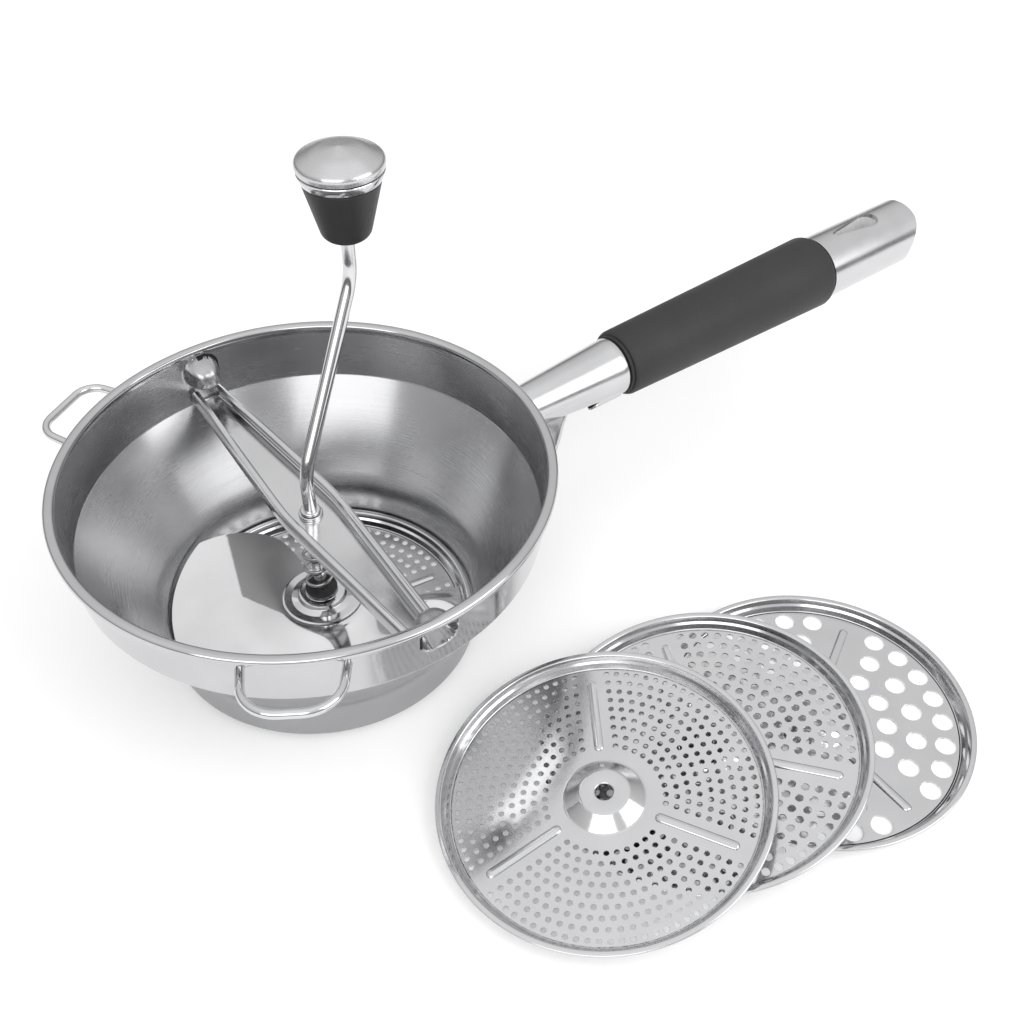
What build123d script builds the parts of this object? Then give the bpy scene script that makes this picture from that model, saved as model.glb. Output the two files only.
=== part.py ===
from build123d import *
import math
import os

# Rotary food mill: a deep steel bowl with a long handle and two rest hooks, a crossbar held under
# two lugs, a spring-loaded crank with its blade, one fitted disc and three spare discs beside it.
# Millimetres.  The origin is on the bowl's axis, in the plane of the base ring's lower face.  The
# fitted disc hangs through the ring, so it is the disc that touches the floor.
# +Z is up, +X runs along the handle and the crossbar lies along Y.

# ---- driving dimensions ------------------------------------------------------------------------
SHEET = 0.9                 # bowl sheet
RIM_R = 100.0               # outside of the rolled rim
RIM_TOP = 85.0
BEAD_R = 2.0                # radius of the rolled rim bead
STEP_R = 94.6               # where the cone meets the upright band
STEP_Z = 59.0
RING_R = 66.0               # outside of the base ring
RING_TOP = 16.0
LIP_R = 63.2                # inside of the lip that carries the disc's rolled rim

LUG_Z = 74.0                # middle of the pressed lugs
LUG_HALF = (7.5, 11.5, 6.0)  # half width, inward reach, half height
SLIT = 1.5                  # sheared slits round the lugs
LUG_OUTSET = 1.6            # how far outside STEP_R the middle of a lug lies
TOP_SLIT = (9.0, 9.0, 1.2)  # length, depth and drop below the lug's top
FLANK_SLIT = (8.0, 8.0, 1.6)  # height, depth and distance from the lug's flank

ROD_R = 2.75                # crank wire
RUN_FIT = 0.06              # running clearance of the rod in its bushes
ROD_END_Z = -1.0            # lower end, inside the disc's eye
BEND_Z = 81.0               # where the crank leaves the bowl's axis
ARM_R = 48.0                # reach of the crank
ARM_ANGLE = 30.0
ARM_TOP_Z = 144.0           # where it turns upright again
CRANK_BEND_R = 22.0

BAR_REACH = 92.2            # half length of the crossbar
BAR_HALF_MID = 13.0
BAR_HALF_END = 6.8
BAR_Z = 58.0                # underside of the crossbar's web
BAR_TOP = 66.4
BAR_SHEET = 1.3

SEAT_Z = 17.6               # top of the lower spring seat
SPRING_WIRE = 0.7           # wire radius
SPRING_TURNS = 5
SPRING_R = (5.9, 5.0)       # coil radius at its foot and at its top

BLADE_R = 64.0              # where the blade is high enough to pass over the disc's rim
BLADE_TAIL_R = 59.6         # where it runs inside the disc's rim
BLADE_TAIL_TURN = (0.36, 0.56)  # where the one blends into the other
BLADE_SHEET = 1.1
BLADE_EYE_R = 8.0           # bore in the blade, under the hub
HUB_R = 17.6
HUB_LEVEL = 9.8             # underside of the blade round the hub
BLADE_START = 84.0          # leading edge at the hub, degrees
BLADE_SWEEP = 34.0          # how far the leading edge trails off at the rim
BLADE_END = 338.0           # trailing edge
BLADE_RISE = 13.8           # climb from the trailing edge to the leading edge
BLADE_LOW = 0.2             # underside at the trailing edge
CREASE_AT = (-17.6, 55.2)   # where the crease meets the leading edge
CREASE_WAY = -16.9          # direction of the fall beside the crease, degrees
CREASE_FALL = 0.2           # slope of the fall
CREASE_SOFT = 4.0           # rounding of the crease
RIDGE = (0.955, 0.03, 2.2)  # ridge before the trailing edge: place, half width, height
RIDGE_SPAN = (31.0, 60.0)   # radii between which the ridge stands

DISC_R = 64.4
DISC_SHEET = 0.8
DISC_RIM_H = 6.0
DISC_PLATE_R = 58.8         # where the rim wall rises from the plate
DISC_FOOT_R = 59.8          # edge of the underside that touches the floor
BOSS_R = 15.8
BOSS_CROWN_R = 9.6
BOSS_H = 5.4
EYE_R = 3.4                 # bore that the rod's end turns in
RIB_HALF = 1.9
RIB_SPAN = (20.5, 53.5)
DISC_SEAT_Z = -3.5          # underside of the fitted disc, which hangs from the lip by its rim
CLEAR = 0.3                 # gap between parts that only lie together

HANDLE_Z = 63.8             # height of the handle's axis at the bowl
HANDLE_RISE = 0.022         # rise per length
NECK_X = (92.0, 157.0)
NECK_OVALS = ((18.0, 17.4), (27.2, 26.4))  # width and height at each end
GRIP_X = (157.8, 284.0)
GRIP_OVALS = ((31.2, 30.4), (36.2, 35.4))
GRIP_STEP = (1.2, 1.6)      # length and depth of the step at each end of the grip
CAP_X = (284.8, 345.0)
CAP_OVALS = ((32.2, 31.4), (31.6, 31.0))
CAP_SWEEP = 7.0             # how far the cap's underside ends short of its top
CAP_CORNER = 8.0            # rounding of the cap's end, seen from above
HOLE_X = (298.0, 320.0)     # the hanging hole's narrow end and the middle of its round end
HOLE_ENDS = (1.7, 5.2)      # the radii there
TUBE_WALL = 1.2
TUBE_X = 140.0              # where the seam tube under the neck starts
TUBE_RADII = (2.6, 1.6)
TUBE_DROP = 11.3            # how far it lies below the handle's axis
BRACKET_DROP = 11.8         # how far the bracket's middle lies below the handle's axis
BRACKET_OVALS = ((86.0, 72.0, 17.0), (97.0, 59.0, 15.5), (110.6, 40.6, 13.0),
                 (120.0, 24.0, 10.0), (131.0, 5.0, 4.0))  # place, width and height
BRACKET_SHEET = 1.4
CORE_R = 7.0
CORE_WALL = 1.0
PLUG_LENGTH = 9.0

HOOK_WIRE = 1.75
HOOK_REACH = 118.0
HOOK_Z = 78.5
HOOK_SPREAD = 11.0          # degrees each side of the hook's middle
HOOK_ANGLES = {"hook_left": 121.0, "hook_front": -122.0}
HOOK_BENDS = {"hook_left": 9.0, "hook_front": 14.0}
HOOK_ROOT_R = 96.4
HOOK_NARROW = 0.74          # spread at the outer end, as a share of the spread at the rim

KNOB_AXIS = (ARM_R * math.cos(math.radians(ARM_ANGLE)), ARM_R * math.sin(math.radians(ARM_ANGLE)))
KNOB_Z = 162.0              # bottom of the knob
KNOB_TOP_Z = 199.0
CAP_R = 17.2
CAP_DOME_R = 36.0
CAP_SHOULDER = 3.0          # rounding between the cap's side and its dome
ROD_TOP_Z = 186.5           # end of the crank wire, inside the knob

os.makedirs("parts", exist_ok=True)


# ---- helpers -----------------------------------------------------------------------------------
def save(name, shape):
    shape.label = name
    export_step(shape, f"parts/{name}.step")


def turned(points):
    """Solid of revolution about Z from (radius, height) corners."""
    outline = Polyline([(r, 0, z) for r, z in points], close=True)
    return revolve(make_face(outline), axis=Axis.Z)


def sheet_turned(points, radii, thickness):
    """Revolved sheet whose outer line runs through (radius, height) points, filleted by radii."""
    path = FilletPolyline(*points, radius=radii)
    strip = offset(path, amount=thickness, side=Side.LEFT, closed=True)
    return revolve(Plane.XZ * make_face(strip), axis=Axis.Z)


def rod(points, radii, wire_r):
    """Round wire along straight runs joined by arcs."""
    path = FilletPolyline(*points, radius=radii)
    section = Plane(origin=path @ 0, z_dir=path % 0) * Circle(wire_r)
    return sweep(section, path=path)


def ring(r_out, r_in, z_low, z_high):
    height = z_high - z_low
    body = Cylinder(r_out, height) - Cylinder(r_in, height)
    return Pos(0, 0, (z_low + z_high) / 2) * body


def on_circle(radius, degrees, z=0.0):
    angle = math.radians(degrees)
    return (radius * math.cos(angle), radius * math.sin(angle), z)


# ---- bowl --------------------------------------------------------------------------------------
def bowl_outline():
    """Corners of the bowl's outer line, from the lip up to the rim bead."""
    return [
        (LIP_R, 0.0),
        (RING_R, 0.0),
        (RING_R, RING_TOP),
        (STEP_R, STEP_Z),
        (RIM_R - BEAD_R - 0.4, RIM_TOP - BEAD_R),
    ]


def bowl_filled():
    """Everything inside the bowl's outer line."""
    corners = [(0.0, 0.0)] + bowl_outline()[1:] + [(0.0, RIM_TOP - BEAD_R)]
    return turned(corners)


def lug(side):
    """Dome pressed inward, with slits along its top and one flank."""
    wall_y = side * (STEP_R + LUG_OUTSET)
    place = Pos(0, wall_y, LUG_Z)
    outer = place * scale(Sphere(1.0), by=LUG_HALF)
    inner = place * scale(Sphere(1.0), by=tuple(half - SHEET for half in LUG_HALF))
    length, depth, drop = TOP_SLIT
    slit_top = Pos(side, wall_y - side * depth / 3, LUG_Z + LUG_HALF[2] - drop) * Box(length, depth, SLIT)
    height, depth, inset = FLANK_SLIT
    slit_flank = Pos(side * (LUG_HALF[0] - inset), wall_y - side * depth / 4, LUG_Z + 1.0)
    slit_flank = slit_flank * Box(SLIT, depth, height)
    return outer, inner, slit_top + slit_flank


def bowl():
    body = sheet_turned(bowl_outline(), [1.0, 4.0, 2.0], SHEET)
    bead = Pos(0, 0, RIM_TOP - BEAD_R) * Torus(RIM_R - BEAD_R, BEAD_R)
    body = body + bead
    filled = bowl_filled()
    for side in (1, -1):
        outer, inner, slits = lug(side)
        body = body + (outer & filled) - inner - slits
    return body


def hook(name):
    """Wire loop welded under the rim."""
    middle = HOOK_ANGLES[name]
    corners = []
    for side in (-1, 1):
        root = on_circle(HOOK_ROOT_R, middle + side * HOOK_SPREAD, HOOK_Z - HOOK_WIRE)
        end = on_circle(HOOK_REACH, middle + side * HOOK_SPREAD * HOOK_NARROW, HOOK_Z)
        corners += [root, end] if side < 0 else [end, root]
    bend = HOOK_BENDS[name]
    return rod(corners, [bend, bend], HOOK_WIRE) - bowl_filled()


# ---- handle ------------------------------------------------------------------------------------
def handle_height(x):
    return HANDLE_Z + (x - RIM_R) * HANDLE_RISE


def oval_loft(stations, drop=0.0):
    """Loft of upright ovals: each station is (x, width, height)."""
    sections = []
    for x, width, height in stations:
        plane = Plane(origin=(x, 0, handle_height(x) - drop), x_dir=(0, 1, 0), z_dir=(1, 0, 0))
        sections.append(plane * Ellipse(width / 2, height / 2))
    return loft(Sketch() + sections, ruled=drop == 0.0)


def tapered(span, ovals):
    """Stations at the two ends of a straight taper."""
    return [(x, *oval) for x, oval in zip(span, ovals)]


def between(stations, x):
    """Station at x of a straight taper."""
    first, last = stations
    share = (x - first[0]) / (last[0] - first[0])
    return tuple(a + (b - a) * share for a, b in zip(first, last))


def shrunk(stations, wall):
    return [(x, width - 2 * wall, height - 2 * wall) for x, width, height in stations]


def core_rod(x_low, x_high, radius):
    """Level rod along the middle of the handle."""
    middle = (x_low + x_high) / 2
    level = handle_height((GRIP_X[0] + GRIP_X[1]) / 2)
    return Pos(middle, 0, level) * Rot(0, 90, 0) * Cylinder(radius, x_high - x_low)


def handle_neck():
    stations = tapered(NECK_X, NECK_OVALS)
    tube = oval_loft(stations) - oval_loft(shrunk(stations, TUBE_WALL))
    return tube - bowl_filled()


def handle_bracket():
    """Hollow flare that spreads from under the neck onto the bowl's wall."""
    body = oval_loft(BRACKET_OVALS, BRACKET_DROP)
    inside = oval_loft(shrunk(BRACKET_OVALS[:-1], BRACKET_SHEET), BRACKET_DROP)
    neck = oval_loft(tapered(NECK_X, NECK_OVALS))
    return body - inside - bowl_filled() - neck


def handle_seam_tube():
    """Rolled seam under the neck, open towards the bowl."""
    length = NECK_X[1] - TUBE_X
    outer_r, bore_r = TUBE_RADII
    tube = Cylinder(outer_r, length) - Cylinder(bore_r, length)
    middle = TUBE_X + length / 2
    neck = oval_loft(tapered(NECK_X, NECK_OVALS))
    return Pos(middle, -outer_r * 2, handle_height(middle) - TUBE_DROP) * Rot(0, 90, 0) * tube - neck


def handle_grip():
    """Moulded sleeve with a small step at each end."""
    body = tapered(GRIP_X, GRIP_OVALS)
    length, depth = GRIP_STEP
    shoulders = [between(body, GRIP_X[0] + length), between(body, GRIP_X[1] - length)]
    ends = shrunk(body, depth / 2)
    stations = [ends[0]] + shoulders + [ends[1]]
    return oval_loft(stations) - core_rod(GRIP_X[0] - 5, GRIP_X[1] + 5, CORE_R)


def handle_core():
    """Tube that ties the neck, the grip and the end cap together."""
    low = NECK_X[1] - PLUG_LENGTH
    high = CAP_X[0] + PLUG_LENGTH
    return core_rod(low, high, CORE_R) - core_rod(low - 1, high + 1, CORE_R - CORE_WALL)


def plug(stations, x_low, x_high):
    """Oval plug that centres the core in a steel sleeve."""
    ends = [between(stations, x_low), between(stations, x_high)]
    return oval_loft(shrunk(ends, TUBE_WALL)) - core_rod(x_low - 5, x_high + 5, CORE_R)


def neck_plug():
    return plug(tapered(NECK_X, NECK_OVALS), NECK_X[1] - PLUG_LENGTH, NECK_X[1])


def cap_plug():
    return plug(tapered(CAP_X, CAP_OVALS), CAP_X[0], CAP_X[0] + PLUG_LENGTH)


def teardrop(grow):
    """Upright block with the outline of the hanging hole, narrow towards the grip."""
    ends = [Pos(x, 0) * Circle(radius + grow) for x, radius in zip(HOLE_X, HOLE_ENDS)]
    outline = make_hull(ends[0].edges() + ends[1].edges())
    return extrude(outline, amount=RIM_R)


def cap_envelope(wall):
    """Space that the end cap fills: its end leans back underneath and has rounded corners."""
    low = 2 * DISC_SEAT_Z
    end = CAP_X[1] - wall
    side = make_face(Polyline((CAP_X[0] - 5, low), (end - CAP_SWEEP, low),
                              (end - CAP_SWEEP, handle_height(end) - CAP_OVALS[1][1] / 2),
                              (end, handle_height(end)), (end, RIM_R), (CAP_X[0] - 5, RIM_R), close=True))
    block = Pos(0, CAP_OVALS[0][0] / 2 - wall, 0) * extrude(Plane.XZ * side, amount=CAP_OVALS[0][0] - 2 * wall)
    corners = [e for e in block.edges() if e.center().X > end - CAP_SWEEP - 1 and e.length > 1
               and abs(abs(e.center().Y) - CAP_OVALS[0][0] / 2 + wall) < 0.1]
    return fillet(corners, CAP_CORNER)


def handle_end_cap():
    """Hollow oval cap with a closed end and a lined hanging hole."""
    stations = tapered(CAP_X, CAP_OVALS)
    outer = oval_loft(stations) & cap_envelope(0.0)
    hollow = oval_loft(shrunk(stations, TUBE_WALL)) & cap_envelope(TUBE_WALL)
    lining = hollow & teardrop(TUBE_WALL)
    return outer - hollow + lining - teardrop(0.0)


# ---- crossbar ----------------------------------------------------------------------------------
def bar_plan(inset):
    """Double-tapered outline of the crossbar, drawn in by inset along its flanges."""
    mid = BAR_HALF_MID - inset
    end = BAR_HALF_END - inset
    reach = BAR_REACH if inset == 0 else BAR_REACH + 5
    corners = [(mid, 0), (end, reach), (-end, reach), (-mid, 0), (-end, -reach), (end, -reach)]
    face = make_face(Polyline(corners, close=True))
    belly = [v for v in face.vertices() if abs(v.Y) < 1]
    return fillet(belly, radius=60.0)


def crossbar():
    blank = Pos(0, 0, BAR_Z) * extrude(bar_plan(0.0), amount=BAR_TOP - BAR_Z)
    trough = Pos(0, 0, BAR_Z + BAR_SHEET) * extrude(bar_plan(BAR_SHEET), amount=BAR_TOP - BAR_Z)
    eye = Pos(0, 0, BAR_Z) * Cylinder(ROD_R + 1.2, 10.0)
    return blank - trough - eye


def crossbar_bush():
    low = BAR_Z - 2.6
    high = BAR_Z + BAR_SHEET + 1.4
    body = ring(ROD_R + 1.2, ROD_R + RUN_FIT, low, high)
    return body + ring(ROD_R + 2.2, ROD_R + RUN_FIT, BAR_Z + BAR_SHEET, high)


def spring_top_washer():
    return ring(6.0, ROD_R + 1.2, BAR_Z - 1.0, BAR_Z)


# ---- crank, spring and blade -------------------------------------------------------------------
def crank_rod():
    x, y = KNOB_AXIS
    path = [(0, 0, ROD_END_Z), (0, 0, BEND_Z), (x, y, ARM_TOP_Z), (x, y, ROD_TOP_Z)]
    return rod(path, [CRANK_BEND_R, CRANK_BEND_R], ROD_R)


def crank_collar():
    """Collar on the rod that stops the blade from dropping."""
    low = BAR_Z + BAR_SHEET + 1.4 + CLEAR
    return ring(ROD_R + 1.4, ROD_R, low, low + 1.4)


def spring_seat():
    return ring(6.8, ROD_R + RUN_FIT, SEAT_Z - 1.3, SEAT_Z)


def spring():
    """Conical coil, wider at its foot."""
    low = SEAT_Z + SPRING_WIRE + 0.05
    high = BAR_Z - 1.0 - SPRING_WIRE - 0.05
    steps_per_turn = 16
    steps = SPRING_TURNS * steps_per_turn
    points = []
    for step in range(steps + 1):
        share = step / steps
        radius = SPRING_R[0] + (SPRING_R[1] - SPRING_R[0]) * share
        points.append(on_circle(radius, 360.0 * step / steps_per_turn, low + (high - low) * share))
    coil = Spline(*points)
    section = Plane(origin=coil @ 0, z_dir=coil % 0) * Circle(SPRING_WIRE)
    return sweep(section, path=coil)


def blade_hub():
    """Dished boss on the blade, stepped up to the spring seat."""
    base = HUB_LEVEL + BLADE_SHEET + 0.02
    top = SEAT_Z - 1.3 - RUN_FIT
    line = [(ROD_R, base), (HUB_R - 0.6, base), (HUB_R, base + 0.7), (HUB_R - 1.2, base + 1.0),
            (13.2, base + 0.9), (10.6, base + 2.0), (9.8, base + 3.4), (8.6, base + 3.6),
            (6.8, base + 3.7), (6.4, top), (ROD_R, top)]
    return turned(line)


def hub_nut():
    """Collar under the hub that holds the blade on the rod."""
    return ring(BLADE_EYE_R - 0.5, ROD_R, HUB_LEVEL - 0.8, HUB_LEVEL + BLADE_SHEET)


def smooth(share):
    share = min(1.0, max(0.0, share))
    return share * share * (3 - 2 * share)


def blade_reach(turn):
    """Outer radius; turn runs from 0 at the leading edge to 1 at the trailing edge."""
    low, high = BLADE_TAIL_TURN
    return BLADE_R + (BLADE_TAIL_R - BLADE_R) * smooth((turn - low) / (high - low))


def blade_angle(turn, radius):
    """Direction of a point of the blade, whose leading edge is swept back."""
    out = max(0.0, radius - HUB_R) / (BLADE_R - HUB_R)
    start = BLADE_START + BLADE_SWEEP * out ** 2.2
    return start + (BLADE_END - start) * turn


def crease_fall(x, y):
    """How far the blade drops on the hub's side of its crease."""
    way = math.radians(CREASE_WAY)
    beyond = (x - CREASE_AT[0]) * math.cos(way) + (y - CREASE_AT[1]) * math.sin(way)
    rounded = (beyond + math.hypot(beyond, CREASE_SOFT)) / 2
    behind = math.degrees(math.atan2(y, x)) % 360 - 150.0
    return CREASE_FALL * rounded * smooth(1 - behind / 40.0)


def blade_height(turn, radius):
    """Underside of the blade."""
    x, y, _ = on_circle(radius, blade_angle(turn, radius))
    share = max(0.0, radius - HUB_R) / (BLADE_R - HUB_R)
    place, width, height = RIDGE
    inner, outer = RIDGE_SPAN
    across = min(1.0, max(0.0, (radius - inner) / (outer - inner)))
    ridge = height * math.sin(math.pi * across) * math.exp(-((turn - place) / width) ** 2)
    level = BLADE_LOW + BLADE_RISE * (1 - turn) ** 2.2 - crease_fall(x, y) + ridge
    blend = smooth(share * 2.0)
    return HUB_LEVEL * (1 - blend) + level * blend


def blade():
    """Helical plate that presses the food through the disc."""
    rows = []
    steps = 120
    columns = 12
    for step in range(steps + 1):
        turn = step / steps
        reach = blade_reach(turn)
        row = []
        for column in range(columns + 1):
            radius = BLADE_EYE_R + (reach - BLADE_EYE_R) * column / columns
            row.append(Vector(*on_circle(radius, blade_angle(turn, radius), blade_height(turn, radius))))
        rows.append(row)
    surface = Face.make_surface_from_array_of_points(rows, tol=0.05, min_deg=3, max_deg=3)
    return thicken(surface, amount=BLADE_SHEET)


# ---- knob --------------------------------------------------------------------------------------
def knob_place(shape):
    return Pos(KNOB_AXIS[0], KNOB_AXIS[1], 0) * shape


def knob_body():
    """Tapered grip with a pocket for the clip that holds it on the rod."""
    bore = ROD_R + RUN_FIT
    line = [(bore, KNOB_Z), (5.6, KNOB_Z), (8.0, KNOB_Z + 0.8), (9.4, KNOB_Z + 2.4), (10.3, KNOB_Z + 4.6),
            (15.6, KNOB_Z + 24.6), (12.5, KNOB_Z + 24.6), (12.5, KNOB_Z + 28.4),
            (6.5, KNOB_Z + 28.4), (6.5, KNOB_Z + 21.0), (bore, KNOB_Z + 21.0)]
    return knob_place(turned(line))


def knob_band():
    return knob_place(ring(16.6, 12.5, KNOB_Z + 24.6, KNOB_Z + 27.6))


def knob_cap():
    """Domed lid over the clip's pocket."""
    base = KNOB_Z + 27.6
    height = KNOB_TOP_Z - base
    blank = Pos(0, 0, base + height / 2) * Cylinder(CAP_R, height)
    dome = Pos(0, 0, KNOB_TOP_Z - CAP_DOME_R) * Sphere(CAP_DOME_R)
    lid = blank & dome
    shoulder = [e for e in lid.edges() if e.center().Z > base + 1 and e.length > CAP_R]
    lid = fillet(shoulder, CAP_SHOULDER)
    pocket = Pos(0, 0, base + 0.4) * Cylinder(12.5, 0.8)
    return knob_place(lid - pocket)


def knob_retainer():
    """Push-on clip at the rod's end, in the knob's pocket."""
    return knob_place(ring(5.6, ROD_R, KNOB_Z + 21.0 + CLEAR, KNOB_Z + 22.2))


def knob_collar():
    """Crimped ring on the rod that carries the knob."""
    return knob_place(ring(4.0, ROD_R, KNOB_Z - CLEAR - 1.0, KNOB_Z - CLEAR))


# ---- discs -------------------------------------------------------------------------------------
def disc_holes(hole_r, pitch, row_gap):
    """Hole centres in concentric rows, clear of the boss and of the three ribs."""
    places = []
    first = BOSS_R + 3.0 + hole_r
    last = DISC_PLATE_R - 1.2 - hole_r
    rows = int((last - first) / row_gap) + 1
    for row in range(rows):
        radius = last - row * row_gap
        margin = math.degrees(math.asin((RIB_HALF + 1.6 + hole_r) / radius))
        sector = 120.0 - 2 * margin
        count = max(1, int(math.radians(sector) * radius / pitch) + 1 - row % 2)
        step = sector / count
        for rib in range(3):
            for k in range(count):
                angle = rib * 120.0 + margin + (k + 0.5) * step
                places.append(on_circle(radius, angle)[:2])
    return places


def disc_plate(hole_r, pitch, row_gap):
    face = Circle(DISC_PLATE_R) - Circle(BOSS_R - 0.5)
    holes = Sketch() + [Pos(x, y) * Circle(hole_r) for x, y in disc_holes(hole_r, pitch, row_gap)]
    return extrude(face - holes, amount=DISC_SHEET)


def disc_rim():
    """Wall, ledge and rolled lip round the plate."""
    top = DISC_RIM_H
    line = [(DISC_PLATE_R, 0), (DISC_FOOT_R, 0), (DISC_FOOT_R + 0.8, 2.2),
            (DISC_R - 2.6, 3.0), (DISC_R - 1.6, top - 1.6), (DISC_R, top - 1.2), (DISC_R, top),
            (DISC_R - 2.2, top), (DISC_R - 3.2, 3.9), (DISC_PLATE_R + 1.6, 3.0),
            (DISC_PLATE_R + 0.6, 0.9), (DISC_PLATE_R, DISC_SHEET)]
    return turned(line)


def disc_boss():
    """Pressed boss with a rolled eye."""
    t = DISC_SHEET
    line = [(BOSS_R + 0.5, 0), (BOSS_R - 0.8, 0), (BOSS_CROWN_R + 0.6, BOSS_H - t),
            (EYE_R + t, BOSS_H - t), (EYE_R + t, BOSS_H - 2.4), (EYE_R, BOSS_H - 2.4),
            (EYE_R, BOSS_H), (BOSS_CROWN_R, BOSS_H), (BOSS_R - 0.2, t), (BOSS_R + 0.5, t)]
    return turned(line)


def rib(grow, raise_z):
    length = RIB_SPAN[1] - RIB_SPAN[0]
    middle = (RIB_SPAN[0] + RIB_SPAN[1]) / 2
    radius = RIB_HALF + grow
    bar = Pos(middle, 0, raise_z) * Rot(0, 90, 0) * Cylinder(radius, length - 2 * RIB_HALF)
    for x in (RIB_SPAN[0] + RIB_HALF, RIB_SPAN[1] - RIB_HALF):
        bar = bar + Pos(x, 0, raise_z) * Sphere(radius)
    return bar


def disc(hole_r, pitch, row_gap):
    body = disc_plate(hole_r, pitch, row_gap) + disc_rim() + disc_boss()
    above = Pos(0, 0, 10.0) * Box(200.0, 200.0, 20.0)
    for angle in (0.0, 120.0, 240.0):
        body = body + (Rot(0, 0, angle) * rib(0.0, DISC_SHEET - 0.9) & above)
        body = body - Rot(0, 0, angle) * rib(-DISC_SHEET, DISC_SHEET - 0.9)
    return body


# each spare disc: hole radius, pitch in a row, gap between rows
SPARE_HOLES = {
    "disc_fine": (1.05, 4.2, 4.2),
    "disc_medium": (1.55, 5.2, 5.0),
    "disc_coarse": (4.2, 12.4, 11.4),
}
# each spare disc: x and y of its middle, the way that it rises, its lean, the angle of one rib
SPARE_PLACES = {
    "disc_fine": (35.9, -149.5, -6.3, 8.6, 57.0),
    "disc_medium": (81.7, -154.6, -11.7, 8.0, 66.0),
    "disc_coarse": (131.7, -165.0, 0.0, 0.0, 29.0),
}
FITTED_HOLES = (1.35, 5.1, 4.9)
FITTED_RIB_ANGLE = -8.0


def spare_disc(name):
    """Spare disc on the floor, leaning on the one beside it."""
    x, y, rise_way, lean, rib_angle = SPARE_PLACES[name]
    height = DISC_SEAT_Z + DISC_FOOT_R * math.sin(math.radians(lean))
    place = Pos(x, y, height) * Rot(0, 0, rise_way) * Rot(0, -lean, 0) * Rot(0, 0, rib_angle - rise_way)
    return place * disc(*SPARE_HOLES[name])


def main():
    save("bowl", bowl())
    for name in HOOK_ANGLES:
        save(name, hook(name))
    save("handle_neck", handle_neck())
    save("handle_bracket", handle_bracket())
    save("handle_seam_tube", handle_seam_tube())
    save("handle_grip", handle_grip())
    save("handle_core", handle_core())
    save("handle_end_cap", handle_end_cap())
    save("crossbar", crossbar())
    save("crossbar_bush", crossbar_bush())
    save("spring_top_washer", spring_top_washer())
    save("spring", spring())
    save("spring_seat", spring_seat())
    save("crank_rod", crank_rod())
    save("crank_collar", crank_collar())
    save("blade_hub", blade_hub())
    save("hub_nut", hub_nut())
    save("blade", blade())
    save("knob_body", knob_body())
    save("knob_band", knob_band())
    save("knob_cap", knob_cap())
    save("knob_retainer", knob_retainer())
    save("knob_collar", knob_collar())
    save("neck_plug", neck_plug())
    save("cap_plug", cap_plug())
    save("disc_fitted", Pos(0, 0, DISC_SEAT_Z) * Rot(0, 0, FITTED_RIB_ANGLE) * disc(*FITTED_HOLES))
    for name in SPARE_HOLES:
        save(name, spare_disc(name))


main()
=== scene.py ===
import math

import bpy
from mathutils import Matrix, Vector
from mathutils.geometry import delaunay_2d_cdt


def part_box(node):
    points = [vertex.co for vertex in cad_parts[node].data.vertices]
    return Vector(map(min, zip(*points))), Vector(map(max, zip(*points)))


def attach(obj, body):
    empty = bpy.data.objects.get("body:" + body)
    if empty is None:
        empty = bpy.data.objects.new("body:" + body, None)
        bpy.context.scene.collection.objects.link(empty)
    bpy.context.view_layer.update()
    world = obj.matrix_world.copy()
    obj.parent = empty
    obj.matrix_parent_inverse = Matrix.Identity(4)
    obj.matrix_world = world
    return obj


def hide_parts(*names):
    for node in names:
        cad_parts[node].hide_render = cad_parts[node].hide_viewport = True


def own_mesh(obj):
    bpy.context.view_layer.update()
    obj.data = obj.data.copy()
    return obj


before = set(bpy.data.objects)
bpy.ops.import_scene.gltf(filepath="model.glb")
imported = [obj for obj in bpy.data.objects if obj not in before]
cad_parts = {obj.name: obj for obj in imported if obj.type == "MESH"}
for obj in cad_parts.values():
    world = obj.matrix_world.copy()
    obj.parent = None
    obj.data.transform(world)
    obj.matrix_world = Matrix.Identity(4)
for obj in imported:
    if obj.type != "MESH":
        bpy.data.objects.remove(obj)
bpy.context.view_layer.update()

# Food mill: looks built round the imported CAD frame.  Lengths are millimetres, turned into metres
# when a mesh is made.  Every piece is placed where its CAD node is and rides on the node's body.
MM = 0.001
TAU = 2 * math.pi

# ---- sizes, from the frame and a few named values -------------------------------------------------
RIM_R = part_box("bowl")[1].x / MM
RIM_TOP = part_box("bowl")[1].z / MM
SHEET = 0.9
ROLL = (2.25, 1.85)      # half width and half height of the flattened rim roll
LIP_R = 63.2
RING_R = 66.0
RING_TOP = 16.0
STEP_R = 94.6
STEP_Z = 59.0
LUG_Z = 74.0
LUG_HALF = (7.6, 10.6, 6.4)
LUG_POWER = 2.7          # squareness of a lug's outline
LUG_SIDES = (90.0, 270.0)
# SLIT_BAND bounds the band that is painted near-black as painted shade for the slit.
SLIT_BAND = (1.0, 1.15)  # inner and outer edge of the slit mark, in lug sizes

ROD_R = 2.75
BEND_Z = 81.0
ARM_R = 48.0
ARM_ANGLE = 30.0
ARM_TOP_Z = 144.0
CRANK_END_Z = 185.5
CRANK_BEND_R = 22.0
KNOB_X = ARM_R * math.cos(math.radians(ARM_ANGLE))
KNOB_Y = ARM_R * math.sin(math.radians(ARM_ANGLE))
KNOB_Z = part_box("knob_body")[0].z / MM
KNOB_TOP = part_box("knob_cap")[1].z / MM
KNOB_CONE_H = 24.2       # tapered part of the knob's body
KNOB_BODY_H = 28.0

BAR_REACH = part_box("crossbar")[1].y / MM
BAR_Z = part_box("crossbar")[0].z / MM
BAR_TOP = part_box("crossbar")[1].z / MM
BAR_HALF_MID = 12.9
BAR_HALF_END = 6.8
BAR_SHEET = 1.3

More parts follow.
